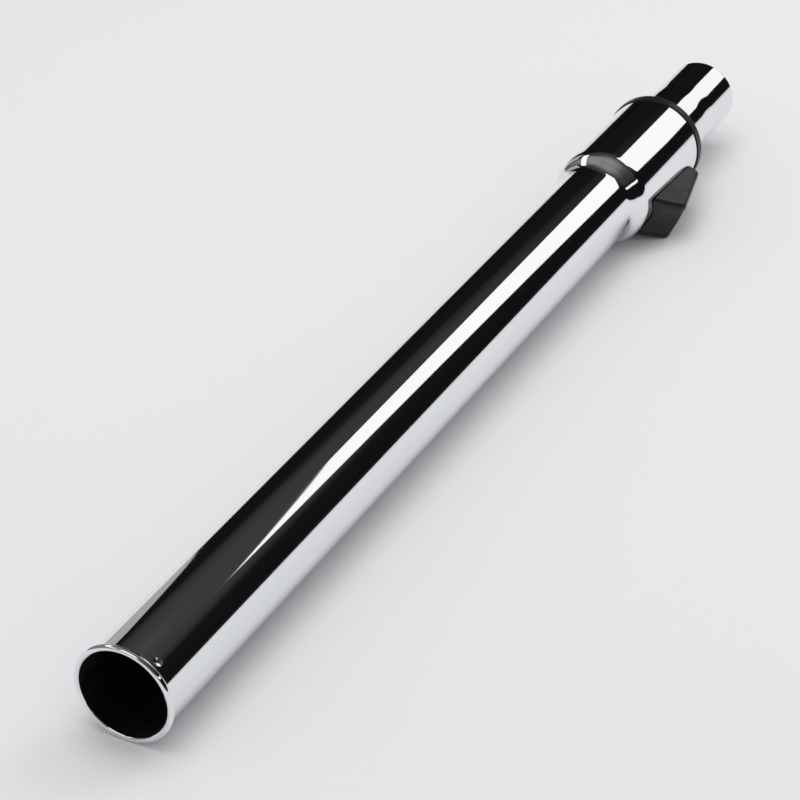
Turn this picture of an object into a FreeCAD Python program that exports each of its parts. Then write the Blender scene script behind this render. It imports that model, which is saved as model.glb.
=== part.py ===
"""Telescopic vacuum wand, collapsed, lying on its rim, its mouth ring and its catch.

The tube axis is the X axis. The origin is the centre of the handle socket's mouth, and the floor tool's
spigot points along +X. Everything is built with the catch on top (+Z) and then rolled about the axis, so
that one floor touches the rim, the mouth ring and the catch.
"""
import FreeCAD, Part
import math
import os

Vector = FreeCAD.Vector
ALONG = Vector(1, 0, 0)
ACROSS = Vector(0, 1, 0)
OUT = Vector(0, 0, 1)
ORIGIN = Vector(0, 0, 0)

# Outer tube: stations are distances from the socket's mouth, its gap is the room round the inner tube
TUBE_GAP = 0.6
TUBE_WALL = 0.9
TUBE_LENGTH = 408.0
BEAD_RADIUS = 1.3
BEAD_STAND = 1.5
SOCKET_DEPTH = 58.0
SOCKET_RELIEF = 0.15
SOCKET_STEP = 1.0
DENT_COUNT = 4
DENT_STATION = 6.0
DENT_DEPTH = 0.4
DENT_BALL_RADIUS = 4.0
DENT_TURN = -76.0

# Collar at the far end of the outer tube, with room for the catch round the inner tube
CATCH_ROOM = 4.9
FLARE_LENGTH = 12.5
COLLAR_LENGTH = 60.5

# Inner tube
INNER_OD = 35.0
INNER_WALL = 0.9
INNER_REACH = 63.0
SPIGOT_OD = 34.3
SPIGOT_LENGTH = 27.0
NECK_LENGTH = 9.0
SPIGOT_EDGE = 0.4
GROOVE_WIDTH = 10.0
GROOVE_DEPTH = 1.6
GROOVE_PAST_LOCK = 8.0

# Lock: the roller drops into one detent of the row
LOCK_INSET = 33.0
ROLLER_RADIUS = 2.25
ROLLER_LENGTH = 8.4
ROLLER_EDGE = 0.3
ROLLER_LIFT = 1.4
DETENT_DEPTH = 1.3
DETENT_PITCH = 27.0
DETENT_COUNT = 13
DETENT_CLEARANCE = 0.2
DETENT_END_CLEARANCE = 0.3

# Guide sleeve, wiper and mouth ring
SLEEVE_SPACE = 4.0
SLEEVE_NOSE = 7.0
SLEEVE_NOSE_WALL = 1.0
KEY_LENGTH = 9.0
WIPER_LENGTH = 2.8
WIPER_WALL = 2.8
RING_FLANGE_LENGTH = 4.8
RING_OVERHANG = 0.5
RING_EDGE = 1.5
RING_LIP_LENGTH = 3.0

# Catch: carriage inside the collar, thumb slider outside
TRAVEL = 6.0
CARRIAGE_LENGTH = 25.0
CARRIAGE_WIDTH = 12.0
CARRIAGE_BEFORE_LOCK = 12.0
CAM_CLEARANCE = 0.1
PEG_RADIUS = 0.6
PEG_LENGTH = 2.0
SPRING_WIRE = 0.4
SPRING_OD = 2.4
SPRING_COILS = 7
SPRING_LENGTH = 12.0
SPRING_SPREAD = 6.4
SCREW_COUNT = 2
SCREW_PITCH = 5.0
SCREW_RADIUS = 1.0
SCREW_HEAD_RADIUS = 1.9
SCREW_HEAD_HEIGHT = 1.3
SCREW_LENGTH = 7.0
BOSS_LENGTH = 10.0
BOSS_WIDTH = 5.4
BOSS_AFTER_LOCK = 2.0
BOSS_SEAT_DEPTH = 0.3
SLIDER_BEFORE_LOCK = 23.5
SLIDER_LENGTH = 48.5
SLIDER_RAMP = 12.0
SLIDER_CREST = 11.5
SLIDER_TOE = 4.2
SLIDER_WIDTH = 23.4
SLIDER_TOE_WIDTH = 17.0
SLIDER_SKIRT = 2.3
SLIDER_WALL = 2.2
SLIDER_EDGE = 2.0
CREST_ROUND = 4.0
TOE_CORNER = 4.0
DISH_RADIUS = 24.0
DISH_DEPTH = 1.2

# Tail bush on the hidden end of the inner tube
BUSH_FLANGE_LENGTH = 6.0
BUSH_SKIRT_LENGTH = 14.0
BUSH_LINER_LENGTH = 12.0
BUSH_LINER_WALL = 1.0
SEAL_LENGTH = 2.4
SEAL_DEPTH = 1.1

# Clearances
RUNNING_FIT = 0.08
WIPER_FIT = 0.06
SEATED_FIT = 0.05
PRESSED_FIT = 0.1
SIDE_CLEARANCE = 0.3
SLIDE_CLEARANCE = 0.2
END_STOP_GAP = 0.2
MOUTH_CLEARANCE = 0.35

# Allowances of the construction itself
CUT_MARGIN = 1.0
EDGE_TOLERANCE = 0.5
ROLL_HALVINGS = 30

# Worked out from the above
TUBE_OD = INNER_OD + 2 * (TUBE_GAP + TUBE_WALL)
COLLAR_OD = INNER_OD + 2 * (CATCH_ROOM + TUBE_WALL)
TUBE_R = TUBE_OD / 2
BORE_R = TUBE_R - TUBE_WALL
SOCKET_R = BORE_R + SOCKET_RELIEF
BEAD_R = TUBE_R + BEAD_STAND - BEAD_RADIUS
BEAD_STATION = math.sqrt(BEAD_RADIUS**2 - (BEAD_R - SOCKET_R) ** 2)
RIM_R = BEAD_R + BEAD_RADIUS
COLLAR_R = COLLAR_OD / 2
COLLAR_BORE_R = COLLAR_R - TUBE_WALL
COLLAR_START = TUBE_LENGTH + FLARE_LENGTH
COLLAR_END = COLLAR_START + COLLAR_LENGTH
INNER_R = INNER_OD / 2
INNER_BORE_R = INNER_R - INNER_WALL
INNER_END = COLLAR_END + INNER_REACH
LOCK_X = COLLAR_END - LOCK_INSET
GROOVE_FLOOR = INNER_R - GROOVE_DEPTH
GROOVE_END = LOCK_X + GROOVE_PAST_LOCK
ROLLER_REST = GROOVE_FLOOR - DETENT_DEPTH + ROLLER_RADIUS
STROKE = DETENT_PITCH * (DETENT_COUNT - 1)
SLEEVE_R = COLLAR_BORE_R - PRESSED_FIT
SLEEVE_BORE_R = INNER_R + RUNNING_FIT
SLEEVE_END = COLLAR_END - SLEEVE_SPACE
SLEEVE_START = COLLAR_START - SLEEVE_NOSE
WIPER_START = SLEEVE_END - WIPER_LENGTH
WIPER_SEAT_R = SLEEVE_BORE_R + WIPER_WALL
FLANGE_R = COLLAR_R + RING_OVERHANG
FLANGE_START = COLLAR_END + SEATED_FIT
FLANGE_END = FLANGE_START + RING_FLANGE_LENGTH
BUSH_END = SLEEVE_START - END_STOP_GAP - STROKE
INNER_START = BUSH_END - BUSH_SKIRT_LENGTH
BUSH_START = INNER_START - BUSH_FLANGE_LENGTH
BUSH_R = BORE_R - RUNNING_FIT
SEAL_START = BUSH_START + (BUSH_FLANGE_LENGTH - SEAL_LENGTH) / 2
SEAL_END = SEAL_START + SEAL_LENGTH
SEAL_FLOOR = BUSH_R - SEAL_DEPTH
CARRIAGE_START = LOCK_X - CARRIAGE_BEFORE_LOCK
CARRIAGE_END = CARRIAGE_START + CARRIAGE_LENGTH
CARRIAGE_FLOOR = ROLLER_REST + ROLLER_RADIUS + CAM_CLEARANCE
CARRIAGE_R = COLLAR_BORE_R - SIDE_CLEARANCE
CHANNEL_FLOOR = CARRIAGE_FLOOR - SLIDE_CLEARANCE
CHANNEL_START = CARRIAGE_START - CAM_CLEARANCE
CHANNEL_END = CARRIAGE_END + SPRING_LENGTH
SPRING_LEVEL = (CARRIAGE_FLOOR + CARRIAGE_R) / 2
BOSS_START = LOCK_X + BOSS_AFTER_LOCK
BOSS_END = BOSS_START + BOSS_LENGTH
BOSS_SEAT = CARRIAGE_R - BOSS_SEAT_DEPTH
SCREW_SEAT = CARRIAGE_FLOOR + SCREW_HEAD_HEIGHT
SCREW_TIP = SCREW_SEAT + SCREW_LENGTH
SLIDER_START = LOCK_X - SLIDER_BEFORE_LOCK
SLIDER_END = SLIDER_START + SLIDER_LENGTH
SLIDER_BED_R = COLLAR_R + SIDE_CLEARANCE
SLIDER_BASE = COLLAR_R - SLIDER_SKIRT
CREST_X = SLIDER_START + SLIDER_RAMP
CREST_LEVEL = COLLAR_R + SLIDER_CREST
TOE_LEVEL = COLLAR_R + SLIDER_TOE
RAMP_SLOPE = (CREST_LEVEL - SLIDER_BASE) / SLIDER_RAMP


def cylinder(radius, start, end):
    """Solid cylinder about the tube axis between two stations."""
    return Part.makeCylinder(radius, end - start, Vector(start, 0, 0), ALONG)


def ring(outer, inner, start, end):
    """Plain ring about the tube axis between two stations."""
    return cylinder(outer, start, end).cut(cylinder(inner, start - CUT_MARGIN, end + CUT_MARGIN))


def bar(start, end, width, low, high):
    """Block that is centred across the catch, between two stations and two heights over the axis."""
    return Part.makeBox(end - start, width, high - low, Vector(start, -width / 2, low))


def upright(radius, station, low, high):
    """Round post that stands out from the axis at a station, between two heights over the axis."""
    return Part.makeCylinder(radius, high - low, Vector(station, 0, low), OUT)


def line(a, b):
    """Straight edge between two (x, z) points."""
    return Part.makeLine(Vector(a[0], 0, a[1]), Vector(b[0], 0, b[1]))


def arc(a, middle, b):
    """Round edge through three (x, z) points."""
    points = [Vector(p[0], 0, p[1]) for p in (a, middle, b)]
    return Part.Arc(*points).toShape()


def path(points):
    """Straight edges through (x, z) points, left open."""
    return [line(points[i], points[i + 1]) for i in range(len(points) - 1)]


def outline(edges):
    """Closed wire from edges in any order."""
    return Part.Wire(Part.__sortEdges__(edges))


def turned(edges):
    """Solid of revolution about the tube axis from closed (x, z) edges."""
    return Part.Face(outline(edges)).revolve(ORIGIN, ALONG, 360)


def pulled(wire, width):
    """Solid of the given width from a closed (x, z) wire, centred across the catch."""
    face = Part.Face(wire)
    face.translate(Vector(0, -width / 2, 0))
    return face.extrude(Vector(0, width, 0))


def flare(start, low, high, length):
    """Two tangent arcs that swell from one radius to another."""
    rise = high - low
    radius = (length**2 + rise**2) / (4 * rise)
    half = math.atan2(rise, length)
    shift = radius * math.sin(half)
    lift = radius * (1 - math.cos(half))
    middle = (start + length / 2, low + rise / 2)
    first = arc((start, low), (start + shift, low + lift), middle)
    second = arc(middle, (start + length - shift, high - lift), (start + length, high))
    return [first, second]


def tube_wall():
    """Closed edges of the outer tube's wall, from the socket to the collar's mouth."""
    socket = [
        (TUBE_LENGTH, TUBE_R),
        (BEAD_STATION, TUBE_R),
        (BEAD_STATION, SOCKET_R),
        (SOCKET_DEPTH, SOCKET_R),
        (SOCKET_DEPTH + SOCKET_STEP, BORE_R),
        (TUBE_LENGTH, BORE_R),
    ]
    collar = [
        (COLLAR_START, COLLAR_BORE_R),
        (COLLAR_END, COLLAR_BORE_R),
        (COLLAR_END, COLLAR_R),
        (COLLAR_START, COLLAR_R),
    ]
    inside = flare(TUBE_LENGTH, BORE_R, COLLAR_BORE_R, FLARE_LENGTH)
    outside = flare(TUBE_LENGTH, TUBE_R, COLLAR_R, FLARE_LENGTH)
    return path(socket) + inside + path(collar) + outside


def outer_tube():
    """Tube with its rolled rim, dents, flare, collar and catch window."""
    bead = Part.makeTorus(BEAD_R, BEAD_RADIUS, Vector(BEAD_STATION, 0, 0), ALONG)
    tube = turned(tube_wall()).fuse(bead)
    tube = tube.cut(cylinder(SOCKET_R, -BEAD_RADIUS, BEAD_STATION + BEAD_RADIUS))
    for index in range(DENT_COUNT):
        ball = Part.makeSphere(DENT_BALL_RADIUS)
        ball.translate(Vector(DENT_STATION, 0, TUBE_R + DENT_BALL_RADIUS - DENT_DEPTH))
        ball.rotate(ORIGIN, ALONG, DENT_TURN + index * 360.0 / DENT_COUNT)
        tube = tube.cut(ball)
    window_start = BOSS_START - SIDE_CLEARANCE
    window_end = BOSS_END + TRAVEL + SIDE_CLEARANCE
    window_width = BOSS_WIDTH + 2 * SIDE_CLEARANCE
    window = bar(window_start, window_end, window_width, INNER_R, COLLAR_R + CUT_MARGIN)
    return tube.cut(window).removeSplitter()


def inner_wall():
    """Closed edges of the inner tube's wall, with the neck and the spigot."""
    spigot_r = SPIGOT_OD / 2
    spigot_bore = spigot_r - INNER_WALL
    spigot_start = INNER_END - SPIGOT_LENGTH
    neck_start = spigot_start - NECK_LENGTH
    points = [
        (INNER_START, INNER_R),
        (neck_start, INNER_R),
        (spigot_start, spigot_r),
        (INNER_END - SPIGOT_EDGE, spigot_r),
        (INNER_END, spigot_r - SPIGOT_EDGE),
        (INNER_END, spigot_bore),
        (spigot_start, spigot_bore),
        (neck_start, INNER_BORE_R),
        (INNER_START, INNER_BORE_R),
        (INNER_START, INNER_R),
    ]
    return path(points)


def groove_bar(grow):
    """Guide groove with its round end, or its pressed back when grown by the wall."""
    half = GROOVE_WIDTH / 2
    low = GROOVE_FLOOR - grow
    high = INNER_R + CUT_MARGIN
    run = bar(INNER_START, GROOVE_END - half, GROOVE_WIDTH + 2 * grow, low, high)
    return run.fuse(upright(half + grow, GROOVE_END - half, low, high))


def detent_row(grow):
    """Cross pockets along the groove, or their pressed backs when grown by the wall."""
    radius = ROLLER_RADIUS + DETENT_CLEARANCE + grow
    length = ROLLER_LENGTH + 2 * DETENT_END_CLEARANCE + 2 * grow
    row = []
    for index in range(DETENT_COUNT):
        start = Vector(LOCK_X - index * DETENT_PITCH, -length / 2, ROLLER_REST)
        row.append(Part.makeCylinder(radius, length, start, ACROSS))
    return row


def inner_tube():
    """Sliding tube with the guide groove and its row of detents."""
    envelope = cylinder(INNER_R, INNER_START, INNER_END)
    tube = turned(inner_wall()).fuse(groove_bar(INNER_WALL).common(envelope))
    below_groove = bar(INNER_START, GROOVE_END, INNER_OD, -INNER_R, GROOVE_FLOOR)
    tube = tube.fuse([back.common(below_groove) for back in detent_row(INNER_WALL)])
    tube = tube.cut(groove_bar(0.0))
    return tube.cut(Part.makeCompound(detent_row(0.0))).removeSplitter()


def guide_sleeve():
    """Moulded sleeve in the collar, with the key, the carriage's channel and the roller's window."""
    points = [
        (SLEEVE_START, SLEEVE_BORE_R),
        (SLEEVE_START, SLEEVE_BORE_R + SLEEVE_NOSE_WALL),
        (COLLAR_START, SLEEVE_R),
        (SLEEVE_END, SLEEVE_R),
        (SLEEVE_END, WIPER_SEAT_R),
        (WIPER_START, WIPER_SEAT_R),
        (WIPER_START, SLEEVE_BORE_R),
        (SLEEVE_START, SLEEVE_BORE_R),
    ]
    key_width = GROOVE_WIDTH - 2 * SIDE_CLEARANCE
    key_top = SLEEVE_BORE_R + SLEEVE_NOSE_WALL / 2
    key = bar(SLEEVE_START, SLEEVE_START + KEY_LENGTH, key_width, GROOVE_FLOOR + SIDE_CLEARANCE, key_top)
    channel_width = CARRIAGE_WIDTH + 2 * SLIDE_CLEARANCE
    channel = bar(CHANNEL_START, CHANNEL_END, channel_width, CHANNEL_FLOOR, COLLAR_R)
    half = ROLLER_RADIUS + CAM_CLEARANCE
    window_width = ROLLER_LENGTH + 2 * SLIDE_CLEARANCE
    window = bar(LOCK_X - half, LOCK_X + half, window_width, GROOVE_FLOOR, COLLAR_R)
    return turned(path(points)).fuse(key).cut(channel).cut(window).removeSplitter()


def wiper_seal():
    """Felt ring that wipes the inner tube."""
    return ring(WIPER_SEAT_R - SEATED_FIT, INNER_R + WIPER_FIT, WIPER_START + SEATED_FIT, SLEEVE_END)


def mouth_ring():
    """Ring that closes the collar's mouth, with a rounded flange that covers the collar's edge."""
    lip_start = COLLAR_END - RING_LIP_LENGTH
    bore = INNER_R + MOUTH_CLEARANCE
    lip_r = COLLAR_BORE_R - PRESSED_FIT
    points = [
        (FLANGE_END, FLANGE_R - RING_EDGE),
        (FLANGE_END, bore),
        (lip_start, bore),
        (lip_start, lip_r),
        (FLANGE_START, lip_r),
        (FLANGE_START, FLANGE_R),
        (FLANGE_END - RING_EDGE, FLANGE_R),
    ]
    drop = RING_EDGE * (1 - math.sqrt(0.5))
    round_edge = arc(points[-1], (FLANGE_END - drop, FLANGE_R - drop), points[0])
    return turned(path(points) + [round_edge])


def lock_roller():
    """Steel roller across the groove, seated in a detent."""
    start = Vector(LOCK_X, -ROLLER_LENGTH / 2, ROLLER_REST)
    roller = Part.makeCylinder(ROLLER_RADIUS, ROLLER_LENGTH, start, ACROSS)
    return roller.makeChamfer(ROLLER_EDGE, roller.Edges)


def cam_pocket():
    """Room for the roller under the carriage: a ramp that lets it rise with the travel, then a well."""
    rate = ROLLER_LIFT / TRAVEL
    reach = (ROLLER_RADIUS + CAM_CLEARANCE) * math.sqrt(1 + rate**2)
    ramp_foot = LOCK_X + (ROLLER_REST + reach - CARRIAGE_FLOOR) / rate
    well_top = ROLLER_REST + ROLLER_LIFT + ROLLER_RADIUS + CAM_CLEARANCE
    ramp_head = LOCK_X - (well_top - ROLLER_REST - reach) / rate
    well_start = LOCK_X - TRAVEL - ROLLER_RADIUS - SLIDE_CLEARANCE
    points = [
        (ramp_foot, CHANNEL_FLOOR),
        (ramp_foot, CARRIAGE_FLOOR),
        (ramp_head, well_top),
        (well_start, well_top),
        (well_start, CHANNEL_FLOOR),
        (ramp_foot, CHANNEL_FLOOR),
    ]
    return pulled(outline(path(points)), ROLLER_LENGTH + 2 * SLIDE_CLEARANCE)


def screw_stations():
    """Stations of the screws along the boss."""
    first = (BOSS_START + BOSS_END - (SCREW_COUNT - 1) * SCREW_PITCH) / 2
    return [first + index * SCREW_PITCH for index in range(SCREW_COUNT)]


def spring_lanes():
    """Offsets of the two springs across the catch."""
    return (-SPRING_SPREAD / 2, SPRING_SPREAD / 2)


def cam_carriage():
    """Slide inside the collar, with the cam, the screw seats and the springs' pegs."""
    block = bar(CARRIAGE_START, CARRIAGE_END, CARRIAGE_WIDTH, CARRIAGE_FLOOR, COLLAR_R)
    carriage = block.common(cylinder(CARRIAGE_R, CARRIAGE_START, CARRIAGE_END)).cut(cam_pocket())
    seat_start = BOSS_START - SEATED_FIT
    seat_end = BOSS_END + SEATED_FIT
    carriage = carriage.cut(bar(seat_start, seat_end, BOSS_WIDTH + 2 * SEATED_FIT, BOSS_SEAT, COLLAR_R))
    for station in screw_stations():
        carriage = carriage.cut(upright(SCREW_RADIUS + SEATED_FIT, station, INNER_R, COLLAR_R))
        carriage = carriage.cut(upright(SCREW_HEAD_RADIUS + SEATED_FIT, station, INNER_R, SCREW_SEAT))
    for lane in spring_lanes():
        peg = Part.makeCylinder(PEG_RADIUS, PEG_LENGTH, Vector(CARRIAGE_END, lane, SPRING_LEVEL), ALONG)
        carriage = carriage.fuse(peg)
    return carriage.removeSplitter()


def carriage_screws():
    """Screws that hold the thumb slider's boss to the carriage, as one group."""
    screws = []
    for station in screw_stations():
        head = upright(SCREW_HEAD_RADIUS, station, CARRIAGE_FLOOR, SCREW_SEAT)
        screws.append(head.fuse(upright(SCREW_RADIUS, station, SCREW_SEAT, SCREW_TIP)))
    return Part.makeCompound(screws)


def return_spring(lane):
    """Compression spring between the carriage and the end of its channel."""
    mean = (SPRING_OD - SPRING_WIRE) / 2
    height = SPRING_LENGTH - SPRING_WIRE - 2 * SEATED_FIT
    helix = Part.Wire(Part.makeHelix(height / SPRING_COILS, height, mean))
    profile = Part.Wire(Part.makeCircle(SPRING_WIRE / 2, Vector(mean, 0, 0), ACROSS))
    spring = helix.makePipeShell([profile], True, True)
    spring.rotate(ORIGIN, ACROSS, 90)
    spring.translate(Vector(CARRIAGE_END + SEATED_FIT + SPRING_WIRE / 2, lane, SPRING_LEVEL))
    return spring


def slider_form(wall):
    """Slider's outer form with a wall taken off all round; its base goes down by twice the wall."""
    base = SLIDER_BASE - 2 * wall
    start = SLIDER_START - 2 * wall / RAMP_SLOPE
    side = [
        (start, base),
        (CREST_X, CREST_LEVEL),
        (SLIDER_END, TOE_LEVEL),
        (SLIDER_END, base),
        (start, base),
    ]
    half = SLIDER_WIDTH / 2
    toe_half = SLIDER_TOE_WIDTH / 2
    plan = [
        Vector(start, -half, 0),
        Vector(SLIDER_END, -toe_half, 0),
        Vector(SLIDER_END, toe_half, 0),
        Vector(start, half, 0),
        Vector(start, -half, 0),
    ]
    side_wire = outline(path(side))
    plan_wire = Part.makePolygon(plan)
    if wall:
        side_wire = side_wire.makeOffset2D(-wall, 2)
        plan_wire = plan_wire.makeOffset2D(-wall, 2)
    return pulled(side_wire, SLIDER_WIDTH).common(Part.Face(plan_wire).extrude(OUT * CREST_LEVEL))


def is_toe_corner(edge):
    """Tells whether an edge stands upright at the slider's toe."""
    box = edge.BoundBox
    return box.XMin > SLIDER_END - EDGE_TOLERANCE and box.YLength < EDGE_TOLERANCE


def is_crest(edge):
    """Tells whether an edge is the ridge between the slanted end and the sloping top."""
    return edge.BoundBox.ZMin > CREST_LEVEL - EDGE_TOLERANCE


def is_flank_top(edge):
    """Tells whether an edge runs along the top of one flank."""
    box = edge.BoundBox
    one_side = box.YMin * box.YMax > 0
    return one_side and box.XLength > EDGE_TOLERANCE and box.ZMax > SLIDER_BED_R


def rounded_slider():
    """Slider's outer form with its toe, crest and upper edges rounded."""
    form = slider_form(0.0)
    rounds = [
        (TOE_CORNER, is_toe_corner),
        (CREST_ROUND, is_crest),
        (SLIDER_EDGE, is_flank_top),
    ]
    for radius, chosen in rounds:
        form = form.makeFillet(radius, [edge for edge in form.Edges if chosen(edge)])
    return form


def thumb_dish():
    """Cylinder along the slanted end that hollows it for the thumb."""
    ramp = Vector(1, 0, RAMP_SLOPE).normalize()
    normal = Vector(-ramp.z, 0, ramp.x)
    foot = Vector(SLIDER_START, 0, SLIDER_BASE)
    start = foot + normal * (DISH_RADIUS - DISH_DEPTH) - ramp * SLIDER_LENGTH
    return Part.makeCylinder(DISH_RADIUS, 2 * SLIDER_LENGTH, start, ramp)


def thumb_slider():
    """Moulded catch on the collar: dished for the thumb, hollow below, with a boss through the window."""
    form = rounded_slider().cut(thumb_dish())
    bed = cylinder(SLIDER_BED_R, SLIDER_START - CUT_MARGIN, SLIDER_END + CUT_MARGIN)
    boss = bar(BOSS_START, BOSS_END, BOSS_WIDTH, BOSS_SEAT, CREST_LEVEL).common(form)
    slider = form.cut(slider_form(SLIDER_WALL)).cut(bed).fuse(boss)
    for station in screw_stations():
        slider = slider.cut(upright(SCREW_RADIUS + SEATED_FIT, station, INNER_R, SCREW_TIP + SEATED_FIT))
    return slider.removeSplitter()


def tail_bush():
    """Glide bush that covers the inner tube's hidden end, with a liner, a skirt and a seal groove."""
    liner_r = INNER_BORE_R - SEATED_FIT
    liner_end = INNER_START + BUSH_LINER_LENGTH
    bore = liner_r - BUSH_LINER_WALL
    skirt_r = INNER_R + SEATED_FIT
    slot_end = INNER_START - SEATED_FIT
    points = [
        (BUSH_START, bore),
        (BUSH_START, BUSH_R),
        (SEAL_START, BUSH_R),
        (SEAL_START, SEAL_FLOOR),
        (SEAL_END, SEAL_FLOOR),
        (SEAL_END, BUSH_R),
        (BUSH_END, BUSH_R),
        (BUSH_END, skirt_r),
        (slot_end, skirt_r),
        (slot_end, liner_r),
        (liner_end, liner_r),
        (liner_end, bore),
        (BUSH_START, bore),
    ]
    gap_width = GROOVE_WIDTH + 2 * (INNER_WALL + SLIDE_CLEARANCE)
    gap_floor = GROOVE_FLOOR - INNER_WALL - SLIDE_CLEARANCE
    gap = bar(slot_end, BUSH_END, gap_width, gap_floor, INNER_R)
    gap = gap.common(cylinder(INNER_R, slot_end, BUSH_END))
    return turned(path(points)).cut(gap).removeSplitter()


def tail_seal():
    """Sealing ring in the tail bush's groove."""
    return ring(BORE_R - WIPER_FIT, SEAL_FLOOR + SEATED_FIT, SEAL_START + SEATED_FIT, SEAL_END - SEATED_FIT)


def build():
    """All pieces by node name, with the catch on top."""
    left, right = spring_lanes()
    return {
        "outer_tube": outer_tube(),
        "guide_sleeve": guide_sleeve(),
        "wiper_seal": wiper_seal(),
        "mouth_ring": mouth_ring(),
        "return_spring_left": return_spring(left),
        "return_spring_right": return_spring(right),
        "thumb_slider": thumb_slider(),
        "cam_carriage": cam_carriage(),
        "carriage_screws": carriage_screws(),
        "lock_roller": lock_roller(),
        "inner_tube": inner_tube(),
        "tail_bush": tail_bush(),
        "tail_seal": tail_seal(),
    }


def rest_turn(slider):
    """Roll that lays the wand down: the slider touches the floor under the rim and the mouth ring."""
    lean = math.atan((FLANGE_R - RIM_R) / (FLANGE_START - BEAD_STATION))
    floor = BEAD_STATION * math.sin(lean) - RIM_R * math.cos(lean)
    low = 90.0
    high = 180.0
    for _ in range(ROLL_HALVINGS):
        turn = (low + high) / 2
        rolled = slider.copy()
        rolled.rotate(ORIGIN, ALONG, turn)
        rolled.rotate(ORIGIN, ACROSS, -math.degrees(lean))
        if rolled.optimalBoundingBox(False, False).ZMin > floor:
            low = turn
        else:
            high = turn
    return low


os.makedirs("parts", exist_ok=True)
pieces = build()
lay_turn = rest_turn(pieces["thumb_slider"])
for name, shape in pieces.items():
    shape.rotate(ORIGIN, ALONG, lay_turn)
    shape.exportStep(os.path.join("parts", name + ".step"))
    print(name, shape.isValid(), len(shape.Solids), round(shape.Volume, 1))
print("rolled by", lay_turn, "degrees, stroke", STROKE)
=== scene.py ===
"""Looks of the telescopic vacuum wand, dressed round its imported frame. Lengths are metres."""
import logging
import math
from dataclasses import dataclass, field, fields
from enum import Enum
from typing import Any, Callable

import bmesh
import bpy
from mathutils import Matrix, Vector


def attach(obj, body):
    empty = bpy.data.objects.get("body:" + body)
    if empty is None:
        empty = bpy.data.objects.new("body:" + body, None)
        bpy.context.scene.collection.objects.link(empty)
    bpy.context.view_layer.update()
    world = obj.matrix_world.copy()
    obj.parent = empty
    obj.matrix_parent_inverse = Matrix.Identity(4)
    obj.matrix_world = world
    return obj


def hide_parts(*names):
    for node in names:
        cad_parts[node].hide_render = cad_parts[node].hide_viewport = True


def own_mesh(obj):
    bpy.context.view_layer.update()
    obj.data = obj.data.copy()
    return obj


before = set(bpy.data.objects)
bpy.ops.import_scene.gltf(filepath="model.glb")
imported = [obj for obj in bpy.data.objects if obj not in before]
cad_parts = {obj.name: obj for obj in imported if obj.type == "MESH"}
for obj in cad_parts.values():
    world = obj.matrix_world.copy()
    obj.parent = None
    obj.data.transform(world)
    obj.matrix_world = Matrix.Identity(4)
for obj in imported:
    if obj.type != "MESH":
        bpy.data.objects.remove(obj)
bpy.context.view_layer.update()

LOG = logging.getLogger("wand")
MM = 0.001
NOISE_MIDDLE = (0.3, 0.7)
# The Mix node has its sockets for numbers and for colours under the same names, so these go by place.
MIX_FIRST, MIX_SECOND, MIX_RESULT = 6, 7, 2

Colour = tuple[float, float, float]
Point = tuple[float, float, float]
Span = tuple[float, float]
Numbers = tuple[float, ...]
Material = bpy.types.Material
Socket = bpy.types.NodeSocket


def millimetres(*lengths: float) -> Numbers:
    """Lengths in millimetres, as metres."""
    return tuple(length * MM for length in lengths)


class Body(Enum):
    """Bodies of the frame that the new pieces ride on."""

    OUTER = "outer"
    INNER = "inner"


class Slot(Enum):
    """Material slots of the record that the new pieces use."""

    OUTER_CHROME = "outer_chrome"
    INNER_CHROME = "inner_chrome"
    STEEL = "steel"


class Seen(Enum):
    """Who sees a studio card."""

    MIRRORS = "only reflections"
    ALL = "camera, light and reflections"


class Graph:
    """Adds nodes to one tree and wires them."""

    def __init__(self, tree: bpy.types.NodeTree) -> None:
        """Keeps the tree."""
        self.tree = tree

    def add(self, kind: str, inputs: dict[str, Any] | None = None, **settings: Any) -> bpy.types.Node:
        """Adds a node.

        Args:
            kind: Blender's name of the node type.
            inputs: values or sockets by input name.
            **settings: attributes of the node.

        Returns:
            The new node.
        """
        node = self.tree.nodes.new(kind)
        for name, value in settings.items():
            setattr(node, name, value)
        for name, value in (inputs or {}).items():
            self.feed(node.inputs[name], value)
        return node

    def feed(self, socket: Socket, value: Any) -> None:
        """Wires a socket into an input, or sets its value.

        Args:
            socket: the input.
            value: an output socket, or a plain value.
        """
        if isinstance(value, Socket):
            self.tree.links.new(value, socket)
        else:
            socket.default_value = value

    def maths(self, operation: str, *values: Any) -> Socket:
        """Adds one step of arithmetic.

        Args:
            operation: Blender's name of the operation.
            *values: sockets or numbers, in the node's order.

        Returns:
            The result's socket.
        """
        node = self.add("ShaderNodeMath", operation=operation)
        for socket, value in zip(node.inputs, values):
            self.feed(socket, value)
        return node.outputs[0]

    def fade(self, value: Socket, start: Any, end: Any) -> Socket:
        """Goes smoothly from 1 at start to 0 at end.

        Args:
            value: what is measured.
            start: value that still gives 1.
            end: value that gives 0.

        Returns:
            The faded number's socket.
        """
        ends = {"Value": value, "From Min": start, "From Max": end, "To Min": 1.0, "To Max": 0.0}
        step = self.add("ShaderNodeMapRange", ends, interpolation_type="SMOOTHSTEP")
        return step.outputs["Result"]


def blank(name: str) -> tuple[Material, Graph]:
    """Makes a material without nodes.

    Args:
        name: name of the material.

    Returns:
        The material and its graph.
    """
    material = bpy.data.materials.new(name)
    material.use_nodes = True
    material.node_tree.nodes.clear()
    return material, Graph(material.node_tree)


@dataclass(frozen=True)
class Finish:
    """What each finish has in common; smooth and dull are the ends of its roughness."""

    name: str
    colour: Colour
    smooth: float
    dull: float
    metallic: float = 0.0


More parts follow.
